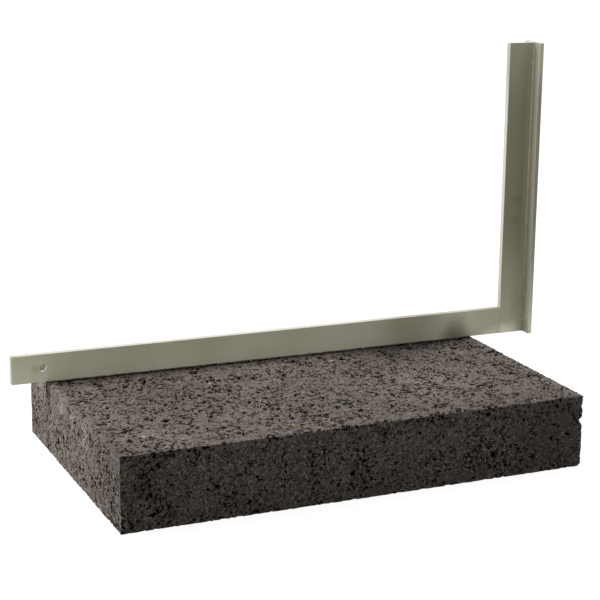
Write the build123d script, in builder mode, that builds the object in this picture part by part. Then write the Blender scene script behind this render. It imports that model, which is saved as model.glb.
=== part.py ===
from build123d import *
import math
import os
import random
from dataclasses import dataclass

# Compacted asphalt slab with a flanged steel square standing on its blade's edge on the slab.
# Millimetres, +Z up. The origin is the middle of the slab's underside, +X runs along the slab from
# its left end to its right end, and +Y runs to its rear.

# Slab
SLAB_LENGTH = 410.0
SLAB_WIDTH = 260.0
SLAB_HEIGHT = 63.0
SLAB_EDGE_CHAMFER = 1.2

# The top, dished by the roller: its depth, the level rims that are left, and the run of the slopes inside them
DISH_DEPTH = 1.9
END_RIM = 3.5
SIDE_RIM = 4.0
END_SLOPE = 8.0
SIDE_SLOPE = 56.0

# Stones, chips and open pores that show on the slab's faces: sieve sizes, depth below the face, and
# bevel of the buried end
COARSE_SMALLEST = 8.0
COARSE_LARGEST = 11.0
COARSE_DEPTH = 7.0
COARSE_BEVEL = 1.5
MEDIUM_SMALLEST = 5.0
MEDIUM_LARGEST = 8.0
MEDIUM_DEPTH = 5.0
MEDIUM_BEVEL = 0.9
CHIP_SMALLEST = 2.5
CHIP_LARGEST = 5.0
CHIP_DEPTH = 2.0
CHIP_BEVEL = 0.4
PORE_SMALLEST = 2.0
PORE_LARGEST = 6.0
PORE_DEPTH = 2.5

# How the stones lie: mastic between neighbours, and least play of a stone in its cell
STONE_GAP = 2.0
STONE_PLAY = 8.0

# Outline of a stone: how many corners, their reach over its half size, and how far each one strays round
# from an even spacing, as a share of that spacing
CORNER_COUNTS = (5, 6)
LEAST_CORNER_RATIO = 0.85
MOST_CORNER_RATIO = 1.1
CORNER_TURN = 0.15

# What the cells of a face hold, one after another and over again
KIND_ORDER = ("medium", "coarse", "pore", "tan", "white", "medium", "pore", "coarse", "medium", "tan", "pore")

# Chips broken out of the slab's edges
EDGE_CHIP_PITCH = 58.0
EDGE_CHIP_SMALLEST = 3.0
EDGE_CHIP_LARGEST = 6.0
QUARTER_TURN = 90.0

# Flanged square: the blade and the stock's web are the same flat bar, ground on all sides
BLADE_LENGTH = 500.0
BLADE_HEIGHT = 25.0
BAR_THICKNESS = 5.5
STOCK_LENGTH = 275.0
STOCK_WIDTH = 25.0
FLANGE_WIDTH = 27.5
FLANGE_THICKNESS = 4.0
EDGE_BREAK = 0.3
BRAZE_GROOVE = 0.8
BRAZE_FILLET = 1.2
HANG_HOLE_DIAMETER = 7.0
HANG_HOLE_INSET = 28.0

# Where the square stands: past the slab's left end, behind its front face, and turned about +Z
BLADE_OVERHANG = 30.5
BLADE_SETBACK = 205.5
SQUARE_SKEW = -1.0

os.makedirs("parts", exist_ok=True)


@dataclass(frozen=True)
class SlabFace:
    """One outer face of the slab: its plane, with the normal outwards, its extent and how far it is hollow."""

    name: str
    plane: Plane
    length: float
    height: float
    hollow: float = 0.0

    @property
    def outwards(self):
        """The axis that points out of the slab through this face."""
        return Axis(self.plane.origin, self.plane.z_dir)


half_length = SLAB_LENGTH / 2
half_width = SLAB_WIDTH / 2
half_height = SLAB_HEIGHT / 2
slab_faces = [
    SlabFace("top", Plane.XY.offset(SLAB_HEIGHT), SLAB_LENGTH, SLAB_WIDTH, DISH_DEPTH),
    SlabFace("front", Plane((0, -half_width, half_height), (1, 0, 0), (0, -1, 0)), SLAB_LENGTH, SLAB_HEIGHT),
    SlabFace("rear", Plane((0, half_width, half_height), (-1, 0, 0), (0, 1, 0)), SLAB_LENGTH, SLAB_HEIGHT),
    SlabFace("left", Plane((-half_length, 0, half_height), (0, -1, 0), (-1, 0, 0)), SLAB_WIDTH, SLAB_HEIGHT),
    SlabFace("right", Plane((half_length, 0, half_height), (0, 1, 0), (1, 0, 0)), SLAB_WIDTH, SLAB_HEIGHT),
]

size_ranges = {
    "coarse": (COARSE_SMALLEST, COARSE_LARGEST),
    "medium": (MEDIUM_SMALLEST, MEDIUM_LARGEST),
    "tan": (CHIP_SMALLEST, CHIP_LARGEST),
    "white": (CHIP_SMALLEST, CHIP_LARGEST),
    "pore": (PORE_SMALLEST, PORE_LARGEST),
}
largest_stone = max(largest for _, largest in size_ranges.values()) * MOST_CORNER_RATIO
deepest_stone = max(COARSE_DEPTH, MEDIUM_DEPTH, CHIP_DEPTH, PORE_DEPTH)
cell_pitch = largest_stone + STONE_GAP + 2 * STONE_PLAY
edge_margin = deepest_stone + STONE_GAP


def stone_corners(chance, centre, size):
    """Corners of an irregular stone outline about centre, in the plane of a slab face."""
    count = chance.choice(CORNER_COUNTS)
    first = chance.random()
    corners = []
    for k in range(count):
        angle = math.tau * (first + k + chance.uniform(-CORNER_TURN, CORNER_TURN)) / count
        reach = size / 2 * chance.uniform(LEAST_CORNER_RATIO, MOST_CORNER_RATIO)
        corners.append((centre.X + reach * math.cos(angle), centre.Y + reach * math.sin(angle)))
    return corners


def clearance(spot, corners):
    """How far a spot in the plane of a slab face lies from the circle round an outline."""
    points = [Vector(*corner) for corner in corners]
    middle = sum(points, Vector()) / len(points)
    reach = max((point - middle).length for point in points)
    return (spot - middle).length - reach


def face_outlines(face):
    """The outlines on one face by kind. Each lies in its own cell, so that no two of them meet, and more
    pores open where four cells meet."""
    columns = max(1, int((face.length - 2 * edge_margin) / cell_pitch))
    rows = max(1, int((face.height - 2 * edge_margin) / cell_pitch))
    pitch_x = (face.length - 2 * edge_margin) / columns
    pitch_y = (face.height - 2 * edge_margin) / rows
    outlines = {kind: [] for kind in KIND_ORDER}
    for number, cell in enumerate(GridLocations(pitch_x, pitch_y, columns, rows)):
        chance = random.Random(f"{face.name} {number}")
        kind = KIND_ORDER[number % len(KIND_ORDER)]
        size = chance.uniform(*size_ranges[kind])
        play = (cell_pitch - STONE_GAP - size * MOST_CORNER_RATIO) / 2
        centre = cell.position + Vector(chance.uniform(-play, play), chance.uniform(-play, play))
        outlines[kind].append(stone_corners(chance, centre, size))
    stones = [corners for group in outlines.values() for corners in group]
    meetings = GridLocations(pitch_x, pitch_y, columns - 1, rows - 1) if min(columns, rows) > 1 else []
    for number, meeting in enumerate(meetings):
        chance = random.Random(f"{face.name} pore {number}")
        room = min(clearance(meeting.position, corners) for corners in stones) - STONE_GAP
        largest = min(PORE_LARGEST, 2 * room / MOST_CORNER_RATIO)
        if largest > PORE_SMALLEST:
            size = chance.uniform(PORE_SMALLEST, largest)
            outlines["pore"].append(stone_corners(chance, meeting.position, size))
    return outlines


outlines_by_face = {face.name: face_outlines(face) for face in slab_faces}


def faces_with(kind):
    """The slab faces on which that kind shows."""
    return [face for face in slab_faces if outlines_by_face[face.name][kind]]


def draw_outlines(face, kind):
    """Draws the outlines of one kind in the open sketch on that face."""
    outlines = outlines_by_face[face.name][kind]
    add([Polygon(*corners, align=None, mode=Mode.PRIVATE) for corners in outlines])


def dish_section(half_span, rim, slope):
    """Corners of the dish's section across a slab that reaches half_span to both sides."""
    brim = half_span - rim
    floor = brim - slope
    floor_height = SLAB_HEIGHT - DISH_DEPTH
    return [(-brim, SLAB_HEIGHT), (-floor, floor_height), (floor, floor_height), (brim, SLAB_HEIGHT)]


def edge_chips(edges):
    """Turned cubes along the edges: cut away, they leave the places where the edge has broken out."""
    chips = []
    for number, edge in enumerate(edges):
        count = max(1, int(edge.length / EDGE_CHIP_PITCH))
        for k in range(count):
            chance = random.Random(f"edge {number} {k}")
            size = chance.uniform(EDGE_CHIP_SMALLEST, EDGE_CHIP_LARGEST)
            turn = [chance.uniform(0, QUARTER_TURN) for _ in range(3)]
            spot = edge @ ((k + chance.random()) / count)
            chips.append(Location(spot, turn) * Box(size, size, size, mode=Mode.PRIVATE))
    return chips


# What the roller has pressed out of the top: a trapezium along the slab crossed with one across it
with BuildPart() as dish:
    with BuildSketch(Plane.XZ):
        Polygon(*dish_section(half_length, END_RIM, END_SLOPE), align=None)
    extrude(amount=half_width, both=True)
    with BuildSketch(Plane.YZ):
        Polygon(*dish_section(half_width, SIDE_RIM, SIDE_SLOPE), align=None)
    extrude(amount=half_length, both=True, mode=Mode.INTERSECT)

# Stones and chips, flush with the faces, with a bevel round the buried end
with BuildPart() as coarse_stones:
    for face in faces_with("coarse"):
        with BuildSketch(face.plane):
            draw_outlines(face, "coarse")
        extrude(amount=-(COARSE_DEPTH + face.hollow))
        buried_ends = coarse_stones.faces(Select.LAST).group_by(face.outwards)[0]
        chamfer(buried_ends.edges(), COARSE_BEVEL)
    add(dish.part, mode=Mode.SUBTRACT)
coarse_stones.part.label = "coarse_stones"
export_step(coarse_stones.part, "parts/coarse_stones.step")

with BuildPart() as medium_stones:
    for face in faces_with("medium"):
        with BuildSketch(face.plane):
            draw_outlines(face, "medium")
        extrude(amount=-(MEDIUM_DEPTH + face.hollow))
        buried_ends = medium_stones.faces(Select.LAST).group_by(face.outwards)[0]
        chamfer(buried_ends.edges(), MEDIUM_BEVEL)
    add(dish.part, mode=Mode.SUBTRACT)
medium_stones.part.label = "medium_stones"
export_step(medium_stones.part, "parts/medium_stones.step")

with BuildPart() as tan_chips:
    for face in faces_with("tan"):
        with BuildSketch(face.plane):
            draw_outlines(face, "tan")
        extrude(amount=-(CHIP_DEPTH + face.hollow))
        buried_ends = tan_chips.faces(Select.LAST).group_by(face.outwards)[0]
        chamfer(buried_ends.edges(), CHIP_BEVEL)
    add(dish.part, mode=Mode.SUBTRACT)
tan_chips.part.label = "tan_chips"
export_step(tan_chips.part, "parts/tan_chips.step")

with BuildPart() as white_chips:
    for face in faces_with("white"):
        with BuildSketch(face.plane):
            draw_outlines(face, "white")
        extrude(amount=-(CHIP_DEPTH + face.hollow))
        buried_ends = white_chips.faces(Select.LAST).group_by(face.outwards)[0]
        chamfer(buried_ends.edges(), CHIP_BEVEL)
    add(dish.part, mode=Mode.SUBTRACT)
white_chips.part.label = "white_chips"
export_step(white_chips.part, "parts/white_chips.step")

# Mastic block: dished top, stone seats, open pores and chipped edges
with BuildPart() as mastic_body:
    with BuildSketch():
        Rectangle(SLAB_LENGTH, SLAB_WIDTH)
    extrude(amount=SLAB_HEIGHT)
    slab_edges = mastic_body.edges()
    chamfer(slab_edges, SLAB_EDGE_CHAMFER)
    add(edge_chips(slab_edges), mode=Mode.SUBTRACT)
    for face in faces_with("pore"):
        with BuildSketch(face.plane):
            draw_outlines(face, "pore")
        extrude(amount=-(PORE_DEPTH + face.hollow), mode=Mode.SUBTRACT)
    add(dish.part, mode=Mode.SUBTRACT)
    for stones in (coarse_stones, medium_stones, tan_chips, white_chips):
        add(stones.part, mode=Mode.SUBTRACT)
mastic_body.part.label = "mastic_body"
export_step(mastic_body.part, "parts/mastic_body.step")

# Planes of the square: its front face, with y up, and its plan at the blade's lower edge. Each of the web's
# two broad faces has its y in that plan and the way that it faces.
blade_way = Vector(1, 0, 0).rotate(Axis.Z, SQUARE_SKEW)
square_corner = (-half_length - BLADE_OVERHANG, -half_width + BLADE_SETBACK, SLAB_HEIGHT)
square_front = Plane(square_corner, blade_way, blade_way.cross(Vector(0, 0, 1)))
square_plan = Plane(square_corner, blade_way, (0, 0, 1))
blade_axis = Axis(square_corner, blade_way)
web_outer = BLADE_LENGTH - FLANGE_THICKNESS
web_inner = web_outer - STOCK_WIDTH
flange_reach = (FLANGE_WIDTH - BAR_THICKNESS) / 2
web_faces = ((0.0, -1), (BAR_THICKNESS, 1))

with BuildPart() as blade:
    with BuildSketch(square_front):
        with Locations((web_inner / 2, BLADE_HEIGHT / 2)):
            Rectangle(web_inner, BLADE_HEIGHT)
        with Locations((HANG_HOLE_INSET, BLADE_HEIGHT / 2)):
            Circle(HANG_HOLE_DIAMETER / 2, mode=Mode.SUBTRACT)
    extrude(amount=-BAR_THICKNESS)
    free_end = blade.faces().filter_by(blade_axis).sort_by(blade_axis)[0]
    long_edges = blade.edges().filter_by(blade_axis)
    chamfer(long_edges + free_end.edges(), EDGE_BREAK)
    joint_end = blade.faces().filter_by(blade_axis).sort_by(blade_axis)[-1]
    chamfer(joint_end.edges().filter_by(Axis.Z), BRAZE_GROOVE)
blade.part.label = "blade"
export_step(blade.part, "parts/blade.step")

with BuildPart() as stock_web:
    with BuildSketch(square_front):
        with Locations((web_inner + STOCK_WIDTH / 2, STOCK_LENGTH / 2)):
            Rectangle(STOCK_WIDTH, STOCK_LENGTH)
    extrude(amount=-BAR_THICKNESS)
    inner_edge = stock_web.faces().filter_by(blade_axis).sort_by(blade_axis)[0]
    chamfer(inner_edge.edges().filter_by(Axis.Z), EDGE_BREAK)
stock_web.part.label = "stock_web"
export_step(stock_web.part, "parts/stock_web.step")

with BuildPart() as stock_flange:
    with BuildSketch(square_front.offset(flange_reach)):
        with Locations((web_outer + FLANGE_THICKNESS / 2, STOCK_LENGTH / 2)):
            Rectangle(FLANGE_THICKNESS, STOCK_LENGTH)
    extrude(amount=-FLANGE_WIDTH)
    chamfer(stock_flange.edges().filter_by(Axis.Z), EDGE_BREAK)
stock_flange.part.label = "stock_flange"
export_step(stock_flange.part, "parts/stock_flange.step")

# Filler metal: dressed flush in the blade's end grooves, and a fillet on both sides of the flange's root
with BuildPart() as corner_braze:
    with BuildSketch(square_plan.offset(EDGE_BREAK)):
        for face_y, outwards in web_faces:
            groove_floor = (web_inner, face_y - outwards * BRAZE_GROOVE)
            groove_side = (web_inner - BRAZE_GROOVE, face_y)
            Polygon(groove_floor, (web_inner, face_y), groove_side, align=None)
    extrude(amount=BLADE_HEIGHT - 2 * EDGE_BREAK)
corner_braze.part.label = "corner_braze"
export_step(corner_braze.part, "parts/corner_braze.step")

with BuildPart() as flange_braze:
    with BuildSketch(square_plan):
        for face_y, outwards in web_faces:
            toe_on_web = (web_outer - BRAZE_FILLET, face_y)
            toe_on_flange = (web_outer, face_y + outwards * BRAZE_FILLET)
            Polygon((web_outer, face_y), toe_on_web, toe_on_flange, align=None)
    extrude(amount=STOCK_LENGTH)
flange_braze.part.label = "flange_braze"
export_step(flange_braze.part, "parts/flange_braze.step")
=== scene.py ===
"""Looks of a rolled asphalt slab and the flanged steel square that stands on it.

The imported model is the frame: the slab's pieces ride on the body "slab", the square's on the body "square".
Sizes in the classes are millimetres, and meshes are written in metres.
"""

import itertools
import logging
import math
from dataclasses import dataclass
from enum import Enum

import bmesh
import bpy
import numpy as np
from bpy.types import ID, Material, Mesh, Node, NodeSocket, Object, World
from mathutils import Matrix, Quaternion, Vector


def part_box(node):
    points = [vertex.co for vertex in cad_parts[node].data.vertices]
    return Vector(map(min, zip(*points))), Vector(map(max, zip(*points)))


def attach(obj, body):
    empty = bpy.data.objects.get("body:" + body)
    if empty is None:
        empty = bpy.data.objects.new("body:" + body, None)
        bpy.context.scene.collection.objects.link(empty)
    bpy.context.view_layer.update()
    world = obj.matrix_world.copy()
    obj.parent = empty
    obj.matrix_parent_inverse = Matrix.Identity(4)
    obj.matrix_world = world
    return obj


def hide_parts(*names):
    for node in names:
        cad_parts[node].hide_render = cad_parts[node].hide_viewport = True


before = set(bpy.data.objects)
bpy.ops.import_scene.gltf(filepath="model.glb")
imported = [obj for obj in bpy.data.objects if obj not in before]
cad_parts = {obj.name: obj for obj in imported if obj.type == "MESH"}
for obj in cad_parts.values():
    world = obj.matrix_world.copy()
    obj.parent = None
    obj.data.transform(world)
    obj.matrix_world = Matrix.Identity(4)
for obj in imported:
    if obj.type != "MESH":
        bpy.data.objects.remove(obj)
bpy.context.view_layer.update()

METRES_PER_MM = 0.001
AXES = 3
ALONG, ACROSS, UP = range(AXES)
TOUCH_MM = 0.01
TRIANGLES_PER_SQUARE = 2
WHITE = (1.0, 1.0, 1.0, 1.0)
UNIT = (0.0, 1.0)
MEAN_NOISE = 0.5
FINE_OCTAVES = 3.0
FINEST_OCTAVES = 4.0
# A block's six faces: the axis that each one is square to, and whether it lies at that axis's high end.
FACES = tuple(itertools.product(range(AXES), (False, True)))
# The sRGB curve: a straight toe, and a power above it.
SRGB_BRIGHTEST = 255
SRGB_TOE = 0.04045
SRGB_TOE_SLOPE = 12.92
SRGB_OFFSET = 0.055
SRGB_POWER = 2.4

Point = tuple[float, float, float]
Span = tuple[float, float]
Source = Node | NodeSocket
Array = np.ndarray

logging.basicConfig(level=logging.INFO, format="%(message)s")
log = logging.getLogger("slab_and_square")


class Slot(Enum):
    """The record's material slots for the slab's pieces."""

    MASTIC = "mastic"
    COATED_STONE = "coated_stone"
    TAN_STONE = "tan_stone"
    WHITE_STONE = "white_stone"


class Grind(Enum):
    """Which way a bar was drawn over the grinding belt."""

    ALONG_BLADE = ALONG
    UP_STOCK = UP


def to_linear(colour: str) -> tuple[float, float, float, float]:
    """Turns an sRGB hex colour into linear light.

    Args:
        colour: Six hex digits after a hash sign.

    Returns:
        Linear red, green, blue and an alpha of 1.
    """
    linear = []
    for level in bytes.fromhex(colour.removeprefix("#")):
        share = level / SRGB_BRIGHTEST
        curved = ((share + SRGB_OFFSET) / (1.0 + SRGB_OFFSET)) ** SRGB_POWER
        linear.append(share / SRGB_TOE_SLOPE if share <= SRGB_TOE else curved)
    return (*linear, 1.0)


def per_metre(size_mm: float) -> float:
    """Gives the texture scale at which one pattern cell measures size_mm."""
    return 1.0 / (size_mm * METRES_PER_MM)


def metres(*sizes_mm: float) -> tuple[float, ...]:
    """Turns millimetres into metres."""
    return tuple(size_mm * METRES_PER_MM for size_mm in sizes_mm)


def smooth_step(values: Array, span: Span) -> Array:
    """Eases values from 0 at the start of a span to 1 at its end."""
    low, high = span
    share = np.clip((values - low) / (high - low), 0.0, 1.0)
    return share * share * (3.0 - 2.0 * share)


def link(name: str, data: ID) -> Object:
    """Puts a new object into the scene."""
    piece = bpy.data.objects.new(name, data)
    bpy.context.scene.collection.objects.link(piece)
    return piece


def settle(piece: Object) -> Mesh:
    """Bakes an object's modifiers into a mesh of its own.

    Args:
        piece: The object, which loses its modifiers.

    Returns:
        The object's new mesh.
    """
    mesh = bpy.data.meshes.new_from_object(piece.evaluated_get(bpy.context.evaluated_depsgraph_get()))
    piece.modifiers.clear()
    piece.data = mesh
    return mesh


def read_vertices(mesh: Mesh, name: str) -> Array:
    """Reads a vector property of a mesh's vertices, one row each."""
    flat = np.zeros(len(mesh.vertices) * AXES)
    mesh.vertices.foreach_get(name, flat)
    return flat.reshape(-1, AXES)


@dataclass
class Nodes:
    """The node tree of a material or a world, emptied. Its place is the point in the wearer's coordinates."""

    owner: Material | World

    def __post_init__(self) -> None:
        """Empties the tree."""
        self.owner.use_nodes = True
        self.tree = self.owner.node_tree
        self.tree.nodes.clear()
        self.place = self.add("TexCoord").outputs["Object"]

    def add(self, kind: str, inputs: dict | tuple = (), **settings) -> Node:
        """Adds one node with its settings, values and links.

        Args:
            kind: Blender's name for the type of node, without the ShaderNode before it.
            inputs: For the sockets that the settings leave in use, in order or by name: a value, a hex
                colour or the output that feeds the socket. A node stands for its first output in use.
            settings: Properties of the node.

        Returns:
            The new node.
        """
        node = self.tree.nodes.new(f"ShaderNode{kind}")
        for name, value in settings.items():
            setattr(node, name, value)
        sockets = [socket for socket in node.inputs if socket.enabled]
        if isinstance(inputs, dict):
            sockets = [next(socket for socket in sockets if socket.name == name) for name in inputs]
            inputs = tuple(inputs.values())
        for socket, value in zip(sockets, inputs):
            if isinstance(value, Node):
                value = next(output for output in value.outputs if output.enabled)
            if isinstance(value, NodeSocket):
                self.tree.links.new(value, socket)
            else:
                socket.default_value = to_linear(value) if isinstance(value, str) else value
        return node


@dataclass(frozen=True)
class StainOrPaintedLight:
    """A soft blot of another shade: some are stains, and some are painted light and shade. Its limits allow
    for an outline that wanders by about half its radius.
    """

    place_mm: Point
    radius_mm: float
    colour: str
    strength: float
    gone_at: float = 1.5
    whole_at: float = 0.5

    def over(self, nodes: Nodes, colour: Source) -> Node:
        """Lays the blot over a colour, full in its middle and gone at its radius.

        Args:
            nodes: The material's nodes.
            colour: The colour below.

        Returns:
            The colour with the blot.
        """
        radius_m = self.radius_mm * METRES_PER_MM
        middle = Vector(self.place_mm) * METRES_PER_MM
        away = nodes.add("VectorMath", (nodes.place, middle), operation="DISTANCE")
        wander = nodes.add("TexNoise", (nodes.place, per_metre(self.radius_mm), FINE_OCTAVES))
        reach = nodes.add("Math", (wander, radius_m, away), operation="MULTIPLY_ADD")
        fade = (reach, self.gone_at * radius_m, self.whole_at * radius_m, 0.0, self.strength)
        share = nodes.add("MapRange", fade, interpolation_type="SMOOTHSTEP")
        return nodes.add("Mix", (share, colour, self.colour), data_type="RGBA")


@dataclass(frozen=True)
class Finish:
    """What one material and the process behind it give the eye."""

    name: str

    def surface(self, nodes: Nodes) -> dict:
        """Gives the principled shader's values and links, which each finish works out for itself."""
        raise NotImplementedError

    def material(self) -> Material:
        """Makes the material.

        Returns:
            A procedural material in the coordinates of the body that wears it.
        """
        material = bpy.data.materials.new(self.name)
        nodes = Nodes(material)
        shader = nodes.add("BsdfPrincipled", self.surface(nodes))
        nodes.add("OutputMaterial", {"Surface": shader})
        return material


@dataclass(frozen=True)
class BareGrain:
    """One kind of grain that shows without a film of bitumen."""

    colour: str
    size_mm: float
    rare: float


@dataclass(frozen=True)
class Gaps:
    """The gaps between grains of one size."""

    pitch_mm: float
    widest_mm: float


@dataclass(frozen=True)
class Holes:
    """Holes of one size in the film: the cell that may hold one, how many do, and their reach in the cell."""

    pitch_mm: float
    chance: float
    reach: float


@dataclass(frozen=True)
class RolledAsphalt(Finish):
    """Dense asphalt as the roller and the mould leave it: stones and sand under a thin film of bitumen.

    The film has gone dull and brown-grey where steel pressed on it, and each grain under it has a shade of
    its own. Gaps between grains keep fresh black bitumen. The gaps and holes in the film are stretched front
    to back, so that on the top their black also paints the shade of the relief. Some grains are rubbed pale,
    and a few have lost their film and show tan or white, most of them on the rolled top. The tints laid over
    the film include painted light and a painted shadow. The mesh brings three attributes: tone, the shade of
    a stone; pit, how far a void is open; and rubbed, how far an edge is worn.
    """

    tints_and_painted_light: tuple[StainOrPaintedLight, ...] = ()
    dark_film: str = "#332D29"
    pale_film: str = "#8E847D"
    worn_film: str = "#A39B92"
    void: str = "#110F0D"
    bare: tuple[BareGrain, ...] = (
        BareGrain("#B59A6C", size_mm=6.0, rare=0.675),
        BareGrain("#D0BE98", size_mm=6.0, rare=0.75),
        BareGrain("#CFCBC5", size_mm=4.0, rare=0.74),
    )
    bare_raggedness: float = 0.6
    bare_edge: float = 0.03
    rarer_below: float = 0.05
    grain_mm: float = 1.15
    mottle_mm: float = 3.2
    patch_mm: float = 21.0
    ragged_mm: float = 2.6
    ragged_swing: float = 1.6
    # How far voids are stretched front to back, which paints the shade of the top's relief.
    drawn_out: float = 1.8
    stone_gaps: Gaps = Gaps(pitch_mm=7.0, widest_mm=1.25)
    sand_gaps: Gaps = Gaps(pitch_mm=3.6, widest_mm=0.85)
    lean_share: float = 0.6
    lean: Span = (0.55, 0.65)
    pores: Holes = Holes(pitch_mm=5.5, chance=0.8, reach=0.26)
    pinholes: Holes = Holes(pitch_mm=2.2, chance=0.5, reach=0.4)
    soft_edge: float = 0.1
    closed_sides: float = 0.5
    hollow: Span = (0.9, 0.98)
    open_ends_mm: Span = (110.0, 205.0)
    lean_ends: float = 0.03
    wider_ends: float = 1.1
    cluster_mm: float = 20.0
    cluster: Span = (0.35, 0.65)
    cluster_lean: Span = (-0.06, 0.06)
    cluster_width: Span = (0.6, 1.4)
    top_mm: Span = (58.0, 62.0)
    smeared_top: float = 0.7
    smeared_shade: float = 0.5
    worn_chance: float = 0.15
    worn_whole: float = 0.5
    grain_swing: float = 0.6
    mottle_swing: float = 0.5
    stone_swing: float = 0.1
    patch_swing: float = 0.24
    rubbed_swing: float = 0.5
    shade_range: float = 0.45
    roughness: Span = (0.65, 0.95)
    relief_strength: float = 0.6
    relief_mm: float = 0.25
    bitumen_ior: float = 1.6
    sheen_level: float = 0.02

    def surface(self, nodes: Nodes) -> dict:
        """Lays film, bare grains and voids over each other.

        Args:
            nodes: The material's nodes.

        Returns:
            The principled shader's values and links.
        """
        # The coordinates are shaken a little, so that grains and voids get ragged outlines.
        shake = nodes.add("TexNoise", (nodes.place, per_metre(self.ragged_mm), FINE_OCTAVES))
        middle = nodes.add("VectorMath", (shake.outputs["Color"], (MEAN_NOISE,) * AXES), operation="SUBTRACT")
        swing = (self.ragged_swing * self.ragged_mm * METRES_PER_MM,) * AXES
        ragged = nodes.add("VectorMath", (middle, swing, nodes.place), operation="MULTIPLY_ADD")
        # Stretched front to back, so that voids on the top also paint the shade of their relief.
        drawn = nodes.add("VectorMath", (ragged, (1.0, 1.0 / self.drawn_out, 1.0)), operation="MULTIPLY")
        grains = nodes.add("TexVoronoi", (ragged, per_metre(self.grain_mm)))
        place = nodes.add("SeparateXYZ", (nodes.place,))
        rolled = nodes.add("MapRange", (place.outputs[UP], *metres(*self.top_mm)))
        voids = self.voids(nodes, drawn, rolled)
        colour = self.film(nodes, grains, rolled)
        # Tints over the film; some of them are painted light and a painted shadow.
        for tint in self.tints_and_painted_light:
            colour = tint.over(nodes, colour)
        colour = self.bare_grains(nodes, colour, rolled)
        sunk = nodes.add("Math", (grains, voids), operation="ADD")
        relief_m = self.relief_mm * METRES_PER_MM
        relief = {"Height": sunk, "Strength": self.relief_strength, "Distance": relief_m}
        return {
            "Base Color": nodes.add("Mix", (voids, colour, self.void), data_type="RGBA"),
            "Roughness": nodes.add("MapRange", (grains, *UNIT, *self.roughness)),
            "IOR": self.bitumen_ior,
            "Specular IOR Level": self.sheen_level,
            "Normal": nodes.add("Bump", relief, invert=True),
        }

    def film(self, nodes: Nodes, grains: Node, rolled: Source) -> Node:
        """Mottles the bitumen film from grain to grain and from stone to stone, and rubs it pale on edges.

        Args:
            nodes: The material's nodes.
            grains: The sand grains, each with a random colour.
            rolled: 1 on the top, where the roller has smeared the film more evenly.

        Returns:
            The film's colour.
        """
        grain = nodes.add("SeparateColor", (grains.outputs["Color"],))
        mottle = nodes.add("TexNoise", (nodes.place, per_metre(self.mottle_mm), FINE_OCTAVES))
        swings = (
            (grain.outputs["Red"], self.grain_swing),
            (mottle, self.mottle_swing),
            (nodes.add("TexNoise", (nodes.place, per_metre(self.patch_mm))), self.patch_swing),
            (nodes.add("Attribute", attribute_name="tone").outputs["Fac"], self.stone_swing),
            (nodes.add("Attribute", attribute_name="rubbed").outputs["Fac"], self.rubbed_swing),
        )
        shade = 0.0
        for source, swing in swings:
            shade = nodes.add("Math", (source, swing, shade), operation="MULTIPLY_ADD")
        middle = MEAN_NOISE * (self.grain_swing + self.mottle_swing + self.patch_swing)
        pale = nodes.add("MapRange", (shade, middle - self.shade_range, middle + self.shade_range))
        smeared = nodes.add("Math", (rolled, self.smeared_top), operation="MULTIPLY")
        even = nodes.add("Mix", (smeared, pale, self.smeared_shade))
        film = nodes.add("Mix", (even, self.dark_film, self.pale_film), data_type="RGBA")
        worn_from, worn_to = 1.0 - self.worn_chance, 1.0 - self.worn_whole * self.worn_chance
        worn = nodes.add("MapRange", (grain.outputs["Blue"], worn_from, worn_to))
        covered = nodes.add("Mix", (smeared, worn, 0.0))
        return nodes.add("Mix", (covered, film, self.worn_film), data_type="RGBA")

    def bare_grains(self, nodes: Nodes, colour: Source, rolled: Source) -> Source:
        """Strews grains without a film over the surface, from specks to splinters of a few millimetres.

        Args:
            nodes: The material's nodes.
            colour: The colour around the grains.
            rolled: 1 on the top, where most of them show.

        Returns:
            The colour with the grains in it.
        """
        rarer = nodes.add("MapRange", (rolled, *UNIT, self.rarer_below, 0.0))
        for grain in self.bare:
            field = nodes.add("TexNoise", {
                "Vector": nodes.place, "Scale": per_metre(grain.size_mm), "Roughness": self.bare_raggedness,
            })
            above = nodes.add("Math", (field, rarer), operation="SUBTRACT")
            bare = nodes.add("MapRange", (above, grain.rare, grain.rare + self.bare_edge))
            colour = nodes.add("Mix", (bare, colour, grain.colour), data_type="RGBA")
        return colour

    def voids(self, nodes: Nodes, drawn: Source, rolled: Source) -> Node:
        """Opens voids: the mesh's own, gaps between stones and between sand grains, pores and pinholes.

        Args:
            nodes: The material's nodes.
            drawn: The point, shaken and stretched front to back, so that voids also paint the shade of the
                top's relief.
            rolled: 1 on the top, which is more open than the moulded sides.

        Returns:
            1 in a void and 0 on the film.
        """
        pit = nodes.add("Attribute", attribute_name="pit").outputs["Fac"]
        fray = nodes.add("TexNoise", (nodes.place, per_metre(self.grain_mm)))
        frayed = nodes.add("Math", (pit, fray), operation="ADD")
        void = nodes.add("MapRange", (frayed, *self.hollow))
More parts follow.
